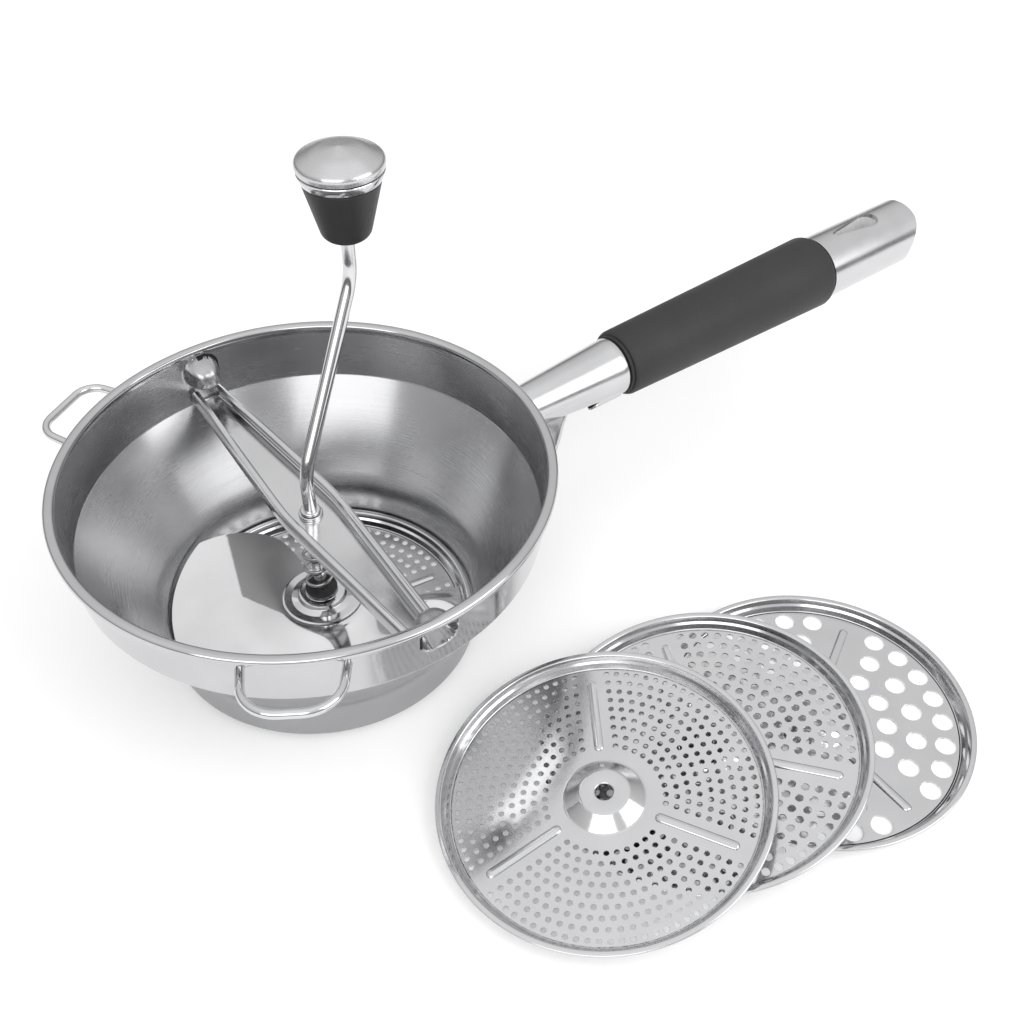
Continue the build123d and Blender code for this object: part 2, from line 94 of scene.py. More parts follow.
SEAT_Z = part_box("spring_seat")[1].z / MM
SPRING_TURNS = 5
SPRING_WIRE_R = 0.7
SPRING_R = (5.9, 5.0)    # at the bottom and at the top

BLADE_R = 64.0
BLADE_TAIL_R = 59.6
BLADE_TAIL_TURN = (0.36, 0.56)
BLADE_SWEEP = 34.0
BLADE_RISE = 13.8
BLADE_LOW = 0.2
BLADE_GRID = (420, 72)   # steps along the helix and rings across it
CREASE_AT = (-17.6, 55.2)
CREASE_WAY = -16.9
CREASE_FALL = 0.04
CREASE_SOFT = 1.5
CREASE_HOLD = 25.0
# FACET_AT, FACET_WAY and FACET_END bound the blade sector that is painted darker as a painted dark
# reflection.
FACET_AT = (-20.8, 5.0)
FACET_WAY = 23.0
FACET_END = 186.0
RIDGE = (0.962, 0.022, 2.9)
RIDGE_SPAN = (31.0, 60.0)
BLADE_EYE_R = 8.0
BLADE_SHEET = 1.1
BLADE_START = 84.0
BLADE_END = 338.0
HUB_R = 17.6
HUB_LEVEL = 9.8

DISC_R = 64.4
DISC_RIM_H = 6.0
DISC_SHEET = 0.8
DISC_PLATE_R = 58.8
DISC_FOOT_R = 59.8
BOSS_R = 15.8
BOSS_CROWN_R = 9.6
BOSS_H = 5.4
EYE_R = 3.4
RIB_HALF = 1.9
RIB_SPAN = (20.5, 53.5)

HANDLE_Z = 63.8
HANDLE_RISE = 0.022
NECK_X = (95.0, 157.0)
NECK_OVALS = ((18.4, 17.8), (27.2, 26.4))
GRIP_X = (157.8, 284.0)
GRIP_OVALS = ((31.2, 30.4), (36.2, 35.4))
CAP_X = (284.8, 345.0)
HOLE_X = (298.0, 320.0)
HOLE_ENDS = (1.7, 5.2)
TUBE_X = 140.0
TUBE_DROP = 11.3
TUBE_R = 2.6
TUBE_Y = -5.2
TUBE_SLANT = 2.4
TUBE_SLANT_LENGTH = 8.0

HOOK_WIRE = 1.75
HOOK_REACH = 118.0
HOOK_Z = 78.5
HOOK_SPREAD = 11.0
HOOK_NARROW = 0.74       # how far the sides of a hook lean together
HOOK_DROP = 1.5
HOOK_ROOT_R = RIM_R - 3.2
HOOK_ANGLES = {"hook_left": 121.0, "hook_front": -122.0}
HOOK_BENDS = {"hook_left": 9.0, "hook_front": 14.0}

# each disc: hole radius, pitch in a row, gap between rows
HOLES = {
    "disc_fine": (1.05, 4.2, 4.2),
    "disc_medium": (1.55, 5.2, 5.0),
    "disc_coarse": (4.2, 12.4, 11.4),
    "disc_fitted": (1.35, 5.1, 4.9),
}
# each disc: x and y of its middle, the way that it rises, its lean, the angle of one rib
PLACES = {
    "disc_fine": (35.9, -149.5, -6.3, 8.6, 57.0),
    "disc_medium": (81.7, -154.6, -11.7, 8.0, 66.0),
    "disc_coarse": (131.7, -165.0, 0.0, 0.0, 29.0),
    "disc_fitted": (0.0, 0.0, 0.0, 0.0, -8.0),
}
DISC_SEAT_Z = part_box("disc_fitted")[0].z / MM


# ---- mesh helpers ---------------------------------------------------------------------------------
def make_mesh(name, points, faces, sharp=35.0):
    """Smooth-shaded mesh object from points in millimetres."""
    mesh = bpy.data.meshes.new(name)
    mesh.from_pydata([tuple(c * MM for c in p) for p in points], [], faces)
    mesh.validate()
    mesh.shade_smooth()
    mesh.set_sharp_from_angle(angle=math.radians(sharp))
    obj = bpy.data.objects.new(name, mesh)
    bpy.context.scene.collection.objects.link(obj)
    return obj


def rounded(corners, radii, steps=6, closed=False):
    """Polyline through corners, each corner rounded by its radius."""
    count = len(corners)
    pts = [Vector(c) for c in corners]
    if not hasattr(radii, "__len__"):
        radii = [radii] * count
    line = []
    for i, corner in enumerate(pts):
        radius = radii[i]
        if (not closed and i in (0, count - 1)) or radius <= 0:
            line.append(corner)
            continue
        before = (pts[i - 1] - corner).normalized()
        after = (pts[(i + 1) % count] - corner).normalized()
        half = before.angle(after) / 2
        back = radius / math.tan(half)
        middle = (before + after).normalized() * (radius / math.sin(half))
        start = before * back - middle
        end = after * back - middle
        sweep = start.angle(end)
        for k in range(steps + 1):
            share = k / steps
            a = math.sin((1 - share) * sweep) / math.sin(sweep)
            b = math.sin(share * sweep) / math.sin(sweep)
            line.append(corner + middle + start * a + end * b)
    return line


def dense(line, gap):
    """The same polyline with points no further apart than gap."""
    out = [line[0]]
    for a, b in zip(line, line[1:]):
        n = max(1, math.ceil((b - a).length / gap))
        out += [a.lerp(b, k / n) for k in range(1, n + 1)]
    return out


def thick_line(line, thickness):
    """Left-hand offset of an open (r, z) line, point for point."""
    out = []
    for i, p in enumerate(line):
        before = (p - line[i - 1]).normalized() if i else None
        after = (line[i + 1] - p).normalized() if i + 1 < len(line) else None
        way = (before or after) + (after or before)
        normal = Vector((-way.y, way.x)).normalized()
        side = after or before
        scale = 1.0 / max(0.5, normal.dot(Vector((-side.y, side.x))))
        out.append(p + normal * thickness * scale)
    return out


def lathe(loop, segments=128):
    """Points and faces of a closed (r, z) loop turned round Z."""
    n = len(loop)
    points = []
    for i in range(segments):
        a = TAU * i / segments
        points += [(r * math.cos(a), r * math.sin(a), z) for r, z in loop]
    faces = []
    for i in range(segments):
        j = (i + 1) % segments
        for k in range(n):
            m = (k + 1) % n
            faces.append((i * n + k, j * n + k, j * n + m, i * n + m))
    return points, faces


def turned(name, corners, radii=0.3, segments=128, at=(0.0, 0.0), steps=3):
    """Lathe-turned piece with rounded corners, on the axis through at."""
    loop = [(p.x, p.y) for p in rounded(corners, radii, steps, closed=True)]
    points, faces = lathe(loop, segments)
    points = [(x + at[0], y + at[1], z) for x, y, z in points]
    return make_mesh(name, points, faces)


def loft(rings, caps=(True, True)):
    """Points and faces through rings of equal count."""
    n = len(rings[0])
    points = [tuple(p) for ring in rings for p in ring]
    faces = []
    for i in range(len(rings) - 1):
        for k in range(n):
            m = (k + 1) % n
            faces.append((i * n + k, i * n + m, (i + 1) * n + m, (i + 1) * n + k))
    if caps[0]:
        faces.append(tuple(reversed(range(n))))
    if caps[1]:
        faces.append(tuple(range((len(rings) - 1) * n, len(rings) * n)))
    return points, faces


def tube(line, radius, sides=24, tip=0.0):
    """Round wire along a line of points; tip rounds its ends."""
    line = [Vector(p) for p in line]
    ways = []
    for i in range(len(line)):
        a = line[max(0, i - 1)]
        b = line[min(len(line) - 1, i + 1)]
        ways.append((b - a).normalized())
    side = ways[0].orthogonal().normalized()
    rings = []
    for i, (p, way) in enumerate(zip(line, ways)):
        side = (side - way * side.dot(way)).normalized()
        up = way.cross(side)
        spots = [(p, radius)]
        if tip and i in (0, len(line) - 1):
            sign = -1 if i == 0 else 1
            spots = [(p + way * sign * tip * math.sin(t), radius - tip + tip * math.cos(t))
                     for t in (0, 0.5, 1.0, 1.45)]
            if i == 0:
                spots.reverse()
        for centre, r in spots:
            ring = []
            for k in range(sides):
                a = TAU * k / sides
                ring.append(centre + (side * math.cos(a) + up * math.sin(a)) * r)
            rings.append(ring)
    return loft(rings)


def merged(parts):
    """Several (points, faces) pairs as one."""
    points = []
    faces = []
    for more_points, more_faces in parts:
        base = len(points)
        points += more_points
        faces += [tuple(i + base for i in face) for face in more_faces]
    return points, faces


def two_sided(outer, inner, closed):
    """Sheet between two equal grids: rows run along the first index, closed joins last to first row."""
    rows = len(outer)
    cols = len(outer[0])
    points = [tuple(p) for row in outer for p in row] + [tuple(p) for row in inner for p in row]
    shift = rows * cols
    last = rows if closed else rows - 1

    def there(i, k):
        if closed:
            i %= rows
        return 0 <= i < last and 0 <= k < cols - 1

    faces = []
    for i in range(last):
        j = (i + 1) % rows
        for k in range(cols - 1):
            a, b, c, d = i * cols + k, j * cols + k, j * cols + k + 1, i * cols + k + 1
            faces.append((a, b, c, d))
            faces.append((d + shift, c + shift, b + shift, a + shift))
            for edge, near in (((a, b), (i, k - 1)), ((b, c), (i + 1, k)),
                               ((c, d), (i, k + 1)), ((d, a), (i - 1, k))):
                if not there(*near):
                    faces.append((edge[1], edge[0], edge[0] + shift, edge[1] + shift))
    return points, faces


def on_circle(radius, degrees, z=0.0):
    a = math.radians(degrees)
    return Vector((radius * math.cos(a), radius * math.sin(a), z))


def smooth_step(share):
    share = min(1.0, max(0.0, share))
    return share * share * (3 - 2 * share)


# ---- materials ------------------------------------------------------------------------------------
def new_material(name):
    material = bpy.data.materials.new(name)
    material.use_nodes = True
    tree = material.node_tree
    tree.nodes.clear()
    output = tree.nodes.new("ShaderNodeOutputMaterial")
    shader = tree.nodes.new("ShaderNodeBsdfPrincipled")
    tree.links.new(shader.outputs[0], output.inputs[0])
    return material, tree, shader


def add(tree, kind, inputs=(), **settings):
    """New node with its settings, its inputs given as values or as other nodes' sockets."""
    node = tree.nodes.new("ShaderNode" + kind)
    for key, value in settings.items():
        setattr(node, key, value)
    for key, value in dict(inputs).items():
        if isinstance(value, bpy.types.NodeSocket):
            tree.links.new(value, node.inputs[key])
        else:
            node.inputs[key].default_value = value
    return node


def remap(tree, socket, low, high, start=0.3, end=0.7):
    """Value socket stretched from start..end to low..high."""
    return add(tree, "MapRange", {0: socket, 1: start, 2: end, 3: low, 4: high}).outputs[0]


def spun_coordinates(tree, where):
    """(distance from the Z axis, 0, height): constant along each circle that a spinning tool leaves."""
    split = add(tree, "SeparateXYZ", {0: where})
    square = [add(tree, "Math", {0: split.outputs[i], 1: 2.0}, operation="POWER").outputs[0]
              for i in (0, 1)]
    total = add(tree, "Math", {0: square[0], 1: square[1]}, operation="ADD").outputs[0]
    radius = add(tree, "Math", {0: total}, operation="SQRT").outputs[0]
    return add(tree, "CombineXYZ", {0: radius, 2: split.outputs[2]}).outputs[0]


def steel(name, tone, rough, grain=None, grain_bump=0.02, waves=0.0, smudge=0.05, stretch_by=0.0):
    """Stainless steel. grain is "spun" for circular marks, an axis index for straight ones, or None.
    stretch_by draws highlights out across circular marks."""
    material, tree, shader = new_material(name)
    where = add(tree, "TexCoord").outputs["Object"]
    cloud = add(tree, "TexNoise", {"Vector": where, "Scale": 55.0, "Detail": 4.0}).outputs[0]
    fine = add(tree, "TexNoise", {"Vector": where, "Scale": 900.0, "Detail": 2.0}).outputs[0]
    lines = fine
    if grain == "spun":
        rings = spun_coordinates(tree, where)
        lines = add(tree, "TexNoise", {"Vector": rings, "Scale": 2600.0, "Detail": 3.0}).outputs[0]
    elif grain is not None:
        stretch = [4000.0, 4000.0, 4000.0]
        stretch[grain] = 40.0
        mapped = add(tree, "Mapping", {"Vector": where, "Scale": stretch}).outputs[0]
        lines = add(tree, "TexNoise", {"Vector": mapped, "Scale": 1.0, "Detail": 3.0}).outputs[0]
    dark = [c * 0.93 for c in tone] + [1.0]
    tones = {0: remap(tree, cloud, 0.0, 1.0), 6: dark, 7: list(tone) + [1.0]}
    colour = add(tree, "Mix", tones, data_type="RGBA")
    tree.links.new(colour.outputs[2], shader.inputs["Base Color"])
    worn = remap(tree, cloud, rough, rough + smudge)
    streaked = remap(tree, lines, -0.12 * rough, 0.12 * rough)
    total = add(tree, "Math", {0: worn, 1: streaked}, operation="ADD").outputs[0]
    tree.links.new(total, shader.inputs["Roughness"])
    bump = add(tree, "Bump", {"Height": lines, "Strength": grain_bump, "Distance": 0.0002})
    if waves:
        swell = add(tree, "TexNoise", {"Vector": where, "Scale": 38.0, "Detail": 1.0}).outputs[0]
        base = add(tree, "Bump", {"Height": swell, "Strength": waves, "Distance": 0.002})
        tree.links.new(base.outputs[0], bump.inputs["Normal"])
    tree.links.new(bump.outputs[0], shader.inputs["Normal"])
    shader.inputs["Metallic"].default_value = 1.0
    if stretch_by:
        shader.inputs["Anisotropic"].default_value = stretch_by
        shader.inputs["Anisotropic Rotation"].default_value = 0.25
        ring = add(tree, "Tangent", direction_type="RADIAL", axis="Z")
        tree.links.new(ring.outputs[0], shader.inputs["Tangent"])
    return material


def dull(name, tone, rough, grit, scale):
    """Rubber or moulded plastic: a fine grit, with slightly shinier handled patches."""
    material, tree, shader = new_material(name)
    where = add(tree, "TexCoord").outputs["Object"]
    fine = add(tree, "TexNoise", {"Vector": where, "Scale": scale, "Detail": 3.0}).outputs[0]
    cloud = add(tree, "TexNoise", {"Vector": where, "Scale": 40.0, "Detail": 2.0}).outputs[0]
    pale = [c * 1.35 for c in tone] + [1.0]
    tones = {0: remap(tree, fine, 0.0, 1.0), 6: list(tone) + [1.0], 7: pale}
    colour = add(tree, "Mix", tones, data_type="RGBA")
    tree.links.new(colour.outputs[2], shader.inputs["Base Color"])
    tree.links.new(remap(tree, cloud, rough, rough + 0.12), shader.inputs["Roughness"])
    bump = add(tree, "Bump", {"Height": fine, "Strength": grit, "Distance": 0.0004})
    tree.links.new(bump.outputs[0], shader.inputs["Normal"])
    return material


STEELS = {
    "bowl": steel("bowl_satin", (0.50, 0.50, 0.51), 0.23, "spun", 0.012, 0.0, 0.05, 0.7),
    "outside": steel("bowl_polish", (0.58, 0.58, 0.59), 0.10, "spun", 0.01, 0.0, 0.03),
    "ring": steel("ring_brushed", (0.40, 0.40, 0.41), 0.30, "spun", 0.03, 0.0, 0.05),
    "wire": steel("wire_polish", (0.66, 0.66, 0.67), 0.09, None, 0.02),
    "handle": steel("handle_brushed", (0.64, 0.64, 0.65), 0.20, 0, 0.06),
    "bright": steel("bright_polish", (0.66, 0.66, 0.67), 0.08, None, 0.02),
    "bar": steel("bar_polish", (0.70, 0.70, 0.71), 0.12, 1, 0.03),
    "blade": steel("blade_mirror", (0.74, 0.74, 0.75), 0.07, None, 0.01, 0.03),
    # the blade's darker sector tone is a painted dark reflection
    "painted_dark_reflection": steel("blade_painted_dark_reflection", (0.37, 0.37, 0.375), 0.34, None, 0.01, 0.06),
    "disc": steel("disc_polish", (0.66, 0.66, 0.67), 0.12, None, 0.03, 0.05),
    "cap": steel("cap_spun", (0.66, 0.66, 0.67), 0.24, "spun", 0.06, 0.0, 0.04, 0.85),
    "spring": steel("spring_wire", (0.45, 0.45, 0.46), 0.15, None, 0.02),
    "hidden": steel("hidden_steel", (0.4, 0.4, 0.41), 0.35, None, 0.05),
}
# Near-black painted shade for the dark inside gaps: the seam's bore and the slits by the lugs.
RUBBER = dull("grip_rubber", (0.024, 0.024, 0.025), 0.55, 0.25, 2200.0)
GAP_SHADE_PAINT = dull("gap_painted_shade", (0.004, 0.004, 0.004), 0.7, 0.1, 2200.0)
# painted light: a pale wall that makes the hanging hole read bright
HOLE_LIGHT_PAINT = dull("hole_painted_light", (0.62, 0.62, 0.62), 0.4, 0.05, 1800.0)
PLASTIC = dull("knob_plastic", (0.016, 0.016, 0.017), 0.42, 0.12, 1800.0)


def dress(obj, material, body, slot, *nodes):
    """Give a piece its material, its body and the nodes that it stands for; slot is not used."""
    obj.data.materials.clear()
    obj.data.materials.append(material)
    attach(obj, body)
    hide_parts(*nodes)
    return obj


# ---- bowl -----------------------------------------------------------------------------------------
def bowl_line():
    corners = [(LIP_R, 0.0), (RING_R, 0.0), (RING_R, RING_TOP), (STEP_R, STEP_Z),
               (RIM_R - ROLL[0] - 0.8, RIM_TOP - ROLL[1])]
    line = rounded(corners, [0, 1.0, 24.0, 2.5, 0], 10)
    low = dense([p for p in line if p.y <= STEP_Z + 2.0], 1.5)
    return low + dense([low[-1], line[-1]], 0.5)[1:]


def lug_push(angle, z):
    """How far a pressed lug pushes the wall inward at an angle (degrees) and height."""
    across = abs(math.radians(angle) * STEP_R / LUG_HALF[0])
    up = abs((z - LUG_Z) / LUG_HALF[2])
    spread = (across ** LUG_POWER + up ** LUG_POWER) ** (1 / LUG_POWER)
    dome = max(0.0, 1 - min(1.0, spread) ** 3.2) ** 0.55
    foot = 0.5 * max(0.0, 1 - max(0.0, spread - 0.9) / 0.3) ** 2 if spread > 0.9 else 0.5
    return (LUG_HALF[1] - 0.5) * dome + foot


def bowl_angles():
    """Angles round the bowl, closer together at the two lugs."""
    fine = [k * 0.2 for k in range(-30, 31)]
    out = []
    for side in LUG_SIDES:
        out += [side + a for a in fine]
        out += [side + 7.0 + k * 1.0 for k in range(167)]
    return sorted(a % 360 for a in out)


def in_painted_slit_shade(across, up):
    """Where a near-black band of painted shade stands in for the open slit of the CAD: half of a lug's top
    and one flank.
    """
    side = abs(across / LUG_HALF[0]) ** LUG_POWER
    edge = (side + abs(up / LUG_HALF[2]) ** LUG_POWER) ** (1 / LUG_POWER)
    top = up > 4.0 and -7.0 < across < 0.5
    flank = across < -5.0 and up > -3.5
    return SLIT_BAND[0] < edge < SLIT_BAND[1] and (top or flank)


def bowl():
    line = bowl_line()
    skin = thick_line(line, SHEET)
    outer = []
    inner = []
    for angle in bowl_angles():
        from_lug = min((angle - s for s in LUG_SIDES), key=abs)
        for source, rows in ((line, outer), (skin, inner)):
            rows.append([on_circle(p.x - lug_push(from_lug, p.y), angle, p.y) for p in source])
    wall = two_sided(outer, inner, True)
    middle = (RIM_R - ROLL[0], RIM_TOP - ROLL[1])
    roll = []
    for k in range(32):
        c = math.cos(TAU * k / 32)
        t = math.sin(TAU * k / 32)
        roll.append((middle[0] + ROLL[0] * math.copysign(abs(c) ** 0.8, c),
                     middle[1] + ROLL[1] * math.copysign(abs(t) ** 0.8, t)))
    obj = make_mesh("bowl_shell", *merged([wall, lathe(roll, 360)]), 40.0)
    dress(obj, STEELS["bowl"], "mill", "bowl_steel", "bowl")
    for material in (STEELS["outside"], STEELS["ring"], GAP_SHADE_PAINT):
        obj.data.materials.append(material)
    outside, ring, slit = 1, 2, 3
    for face in obj.data.polygons:
        middle = face.center / MM
        angle = math.degrees(math.atan2(middle.y, middle.x))
        across = math.radians(abs(angle) - 90.0) * math.copysign(STEP_R, angle)
        # Faces in the slit band are painted near-black: painted shade for the dark inside the CAD's open
        # slit.
        if in_painted_slit_shade(across, middle.z - LUG_Z):
            face.material_index = slit
            continue
        outward = face.normal.x * middle.x + face.normal.y * middle.y
        if middle.z > RIM_TOP - 2 * ROLL[1] - 0.5:
            face.material_index = outside
        elif outward > 0 and middle.z > RING_TOP + 4.0:
            face.material_index = outside
        elif outward > 0 or middle.z < 0.5:
            face.material_index = ring


def hooks():
    for name, middle in HOOK_ANGLES.items():
        corners = [on_circle(HOOK_ROOT_R, middle - HOOK_SPREAD, HOOK_Z - HOOK_DROP),
                   on_circle(HOOK_REACH, middle - HOOK_SPREAD * HOOK_NARROW, HOOK_Z),
                   on_circle(HOOK_REACH, middle + HOOK_SPREAD * HOOK_NARROW, HOOK_Z),
                   on_circle(HOOK_ROOT_R, middle + HOOK_SPREAD, HOOK_Z - HOOK_DROP)]
        wire = tube(rounded(corners, HOOK_BENDS[name], 12), HOOK_WIRE, 20)
        obj = make_mesh(name + "_wire", *wire)
        dress(obj, STEELS["wire"], "mill", "wire_steel", name)


# ---- handle ---------------------------------------------------------------------------------------
def handle_height(x):
    return HANDLE_Z + (x - RIM_R) * HANDLE_RISE


def oval(x, width, height, sides=72):
    middle = handle_height(x)
    ring = []
    for k in range(sides):
        a = TAU * k / sides
        ring.append(Vector((x, width / 2 * math.cos(a), middle + height / 2 * math.sin(a))))
    return ring


def between(ovals, share):
    return tuple(a + (b - a) * share for a, b in zip(*ovals))


def handle_neck():
    """Tapered sleeve with a bright turned-in edge where the grip starts."""
    rings = []
    for step in range(25):
        share = step / 24
        x = NECK_X[0] + (NECK_X[1] - 0.6 - NECK_X[0]) * share
        rings.append(oval(x, *between(NECK_OVALS, share)))
    for along, cut in ((-0.25, 0.25), (0.0, 1.0)):
        width, height = NECK_OVALS[1]
        rings.append(oval(NECK_X[1] + along, width - cut, height - cut))
    obj = make_mesh("neck_sleeve", *loft(rings))
    dress(obj, STEELS["handle"], "mill", "brushed_steel", "handle_neck")


def seam_tube():
    """Rolled seam under the neck; its open end is cut on a slant, and a near-black cap inside the mouth is
    painted shade for the dark bore.
    """
    rings = []
    sides = 32
    stations = ((0.0, TUBE_R - 1.0), (0.0, TUBE_R - 0.3), (0.4, TUBE_R),
                (TUBE_SLANT_LENGTH, TUBE_R), (NECK_X[1] - TUBE_X, TUBE_R))
    for along, radius in stations:
        ring = []
        for k in range(sides):
            a = TAU * k / sides
            slant = TUBE_SLANT * math.sin(a) * max(0.0, 1 - along / TUBE_SLANT_LENGTH)
            x = TUBE_X + TUBE_SLANT + along + slant
            ring.append(Vector((min(x, NECK_X[1]), TUBE_Y + radius * math.cos(a),
                                handle_height(x) - TUBE_DROP + radius * math.sin(a))))
        rings.append(ring)
    mouth = [Vector((p.x + 3.0, p.y, p.z)) for p in rings[0]]
    obj = make_mesh("seam_roll", *loft(rings, (False, True)))
    dress(obj, STEELS["handle"], "mill", "brushed_steel", "handle_seam_tube")
    # near-black cap inside the mouth: painted shade for the bore
    obj = make_mesh("seam_bore_painted_shade", *loft([mouth, rings[0]], (True, False)))
    dress(obj, GAP_SHADE_PAINT, "mill", "brushed_steel")


def handle_grip():
    """Rubber sleeve with a rounded step and a narrow groove at each end."""
    low, high = GRIP_X
    length = high - low
    stations = [(0.0, -3.4), (1.5, -3.4), (1.6, -1.6), (2.1, -0.7), (3.2, 0.0)]
    stations += [(3.2 + (length - 6.4) * k / 12, 0.0) for k in range(1, 12)]
    stations += [(length - x, cut) for x, cut in reversed(stations[:5])]
    rings = [oval(low + step, *(size + cut for size in between(GRIP_OVALS, step / length)))
             for step, cut in stations]
    obj = make_mesh("grip_sleeve", *loft(rings))
    dress(obj, RUBBER, "mill", "grip_rubber", "handle_grip")


def hole_wall_painted_light():
    """Wall of the hanging hole, painted pale: painted light for the brightness seen through the hole, in a
    pale wall that isn't in the CAD.
    """
    loops = []
    far, near = HOLE_X[1], HOLE_X[0]
    lean = math.acos((HOLE_ENDS[1] - HOLE_ENDS[0]) / (far - near))
    for shrink in (0.05, 0.25):
        big, small = HOLE_ENDS[1] - shrink, HOLE_ENDS[0] - shrink
        start = math.pi - lean
        loop = [(far + big * math.cos(a), big * math.sin(a))
                for a in (-start + 2 * start * k / 40 for k in range(41))]
        loop += [(near + small * math.cos(a), small * math.sin(a))
                 for a in (start + 2 * lean * k / 16 for k in range(17))]
        loops.append(loop)
    low = handle_height(HOLE_X[1]) - 13.5
    high = handle_height(HOLE_X[0]) + 13.9
    rings = [[(x, y, z) for x, y in loop] for loop, z in
             ((loops[0], low), (loops[0], high), (loops[1], high), (loops[1], low), (loops[0], low))]
    obj = make_mesh("hole_wall_painted_light", *loft(rings, (False, False)))
    # the pale wall is painted light for the bright hole
    dress(obj, HOLE_LIGHT_PAINT, "mill", "brushed_steel")


def plain_nodes():
    """CAD nodes that stay as they are, with a finished material."""
    looks = {
        "handle_end_cap": STEELS["handle"], "handle_bracket": STEELS["handle"],
        "handle_core": STEELS["hidden"], "neck_plug": PLASTIC, "cap_plug": PLASTIC,
        "hub_nut": STEELS["hidden"], "knob_retainer": STEELS["hidden"],
    }
    for name, material in looks.items():
        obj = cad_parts[name]
        for slot in obj.material_slots:
            slot.material = material


# ---- crossbar -------------------------------------------------------------------------------------
def bar_half(y):
    """Half width of the crossbar: two tapers that meet in a rounded belly."""
    reach = abs(y) / BAR_REACH
    soft = math.sqrt(reach * reach + 0.004)
    return BAR_HALF_MID + 0.4 - (BAR_HALF_MID - BAR_HALF_END + 0.4) * soft


def crossbar():
    rings = []
    count = 80
    for k in range(count + 1):
        y = -BAR_REACH + 2 * BAR_REACH * k / count
        half = bar_half(y)
        t = BAR_SHEET
        roll = t + 2.0
        neck = BAR_TOP - 3.0
        corners = [(-half, BAR_Z), (half, BAR_Z), (half, BAR_TOP), (half - roll, BAR_TOP),
                   (half - roll, neck), (half - t, neck - 0.6), (half - t, BAR_Z + t),
                   (-half + t, BAR_Z + t), (-half + t, neck - 0.6), (-half + roll, neck),
                   (-half + roll, BAR_TOP), (-half, BAR_TOP)]
        radii = [2.2, 2.2, 1.6, 1.4, 1.2, 0.3, 1.0, 1.0, 0.3, 1.2, 1.4, 1.6]
        rings.append([(p.x, y, p.y) for p in rounded(corners, radii, 5, closed=True)])
    obj = make_mesh("crossbar_channel", *loft(rings))
    dress(obj, STEELS["bar"], "bar", "bright_steel", "crossbar")


def bar_fittings():
    low = BAR_Z - 2.6
    high = BAR_Z + BAR_SHEET + 1.4
    bush = [(ROD_R + 0.06, low), (ROD_R + 1.2, low), (ROD_R + 1.2, BAR_Z + BAR_SHEET),
            (ROD_R + 2.2, BAR_Z + BAR_SHEET), (ROD_R + 2.2, high), (ROD_R + 0.06, high)]
    obj = turned("bush_flange", bush, [0.1, 0.1, 0.1, 0.1, 0.5, 0.1], 64)
    dress(obj, STEELS["bright"], "bar", "bright_steel", "crossbar_bush")
    washer = [(ROD_R + 1.2, BAR_Z - 1.0), (6.0, BAR_Z - 1.0), (6.0, BAR_Z), (ROD_R + 1.2, BAR_Z)]
    obj = turned("top_washer", washer, 0.2, 64)
    dress(obj, STEELS["bright"], "bar", "bright_steel", "spring_top_washer")


# ---- crank, spring and blade ----------------------------------------------------------------------
def crank():
    corners = [(0, 0, -1.0), (0, 0, BEND_Z), (KNOB_X, KNOB_Y, ARM_TOP_Z), (KNOB_X, KNOB_Y, CRANK_END_Z)]
    line = rounded(corners, CRANK_BEND_R, 10)
    obj = make_mesh("crank_wire", *tube(line, ROD_R, 32, 1.0))
    dress(obj, STEELS["wire"], "crank", "wire_steel", "crank_rod")
    low = BAR_Z + BAR_SHEET + 1.7
    collar = [(ROD_R, low), (ROD_R + 1.4, low), (ROD_R + 1.4, low + 1.4), (ROD_R, low + 1.4)]
    obj = turned("collar_ring", collar, [0, 0.4, 0.6, 0], 64)
    dress(obj, STEELS["bright"], "crank", "bright_steel", "crank_collar")


def spring():
    low = SEAT_Z + 0.75
    high = BAR_Z - 1.75
    line = []
    count = SPRING_TURNS * 40
    for k in range(count + 1):
        share = k / count
        angle = TAU * SPRING_TURNS * share
        radius = SPRING_R[0] + (SPRING_R[1] - SPRING_R[0]) * share
        line.append((radius * math.cos(angle), radius * math.sin(angle), low + (high - low) * share))
    obj = make_mesh("spring_coil", *tube(line, SPRING_WIRE_R, 12))
    dress(obj, STEELS["spring"], "bar", "spring_steel", "spring")
    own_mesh(obj)


def hub():
    seat = [(ROD_R + 0.06, SEAT_Z - 1.3), (6.8, SEAT_Z - 1.3), (6.8, SEAT_Z), (ROD_R + 0.06, SEAT_Z)]
    obj = turned("seat_ring", seat, [0, 0.3, 0.3, 0], 64)
    dress(obj, PLASTIC, "seat", "black_plastic", "spring_seat")
    base = HUB_LEVEL + BLADE_SHEET + 0.02
    top = SEAT_Z - 1.36
    dish = [(ROD_R, base), (HUB_R - 0.6, base), (HUB_R, base + 0.7), (HUB_R - 1.2, base + 1.0),
            (13.2, base + 0.9), (10.6, base + 2.0), (9.8, base + 3.4), (8.6, base + 3.6),
            (6.8, base + 3.7), (6.4, top), (ROD_R, top)]
    obj = turned("hub_dish", dish, [0, 0.2, 0.3, 0.8, 1.0, 0.8, 0.5, 0.3, 0.3, 0.2, 0], 128)
    dress(obj, STEELS["bright"], "crank", "bright_steel", "blade_hub")


def blade_reach(turn):
    """Outer radius; turn runs from 0 at the leading edge to 1 at the trailing edge."""
    low, high = BLADE_TAIL_TURN
    return BLADE_R + (BLADE_TAIL_R - BLADE_R) * smooth_step((turn - low) / (high - low))


def blade_angle(turn, radius):
    """Direction of a point of the blade, whose leading edge is swept back."""
    out = max(0.0, radius - HUB_R) / (BLADE_R - HUB_R)
    start = BLADE_START + BLADE_SWEEP * out ** 2.2
    return start + (BLADE_END - start) * turn


def past_line(x, y, at, way):
    """Distance beyond the line through at that faces the direction way (degrees)."""
    way = math.radians(way)
    return (x - at[0]) * math.cos(way) + (y - at[1]) * math.sin(way)


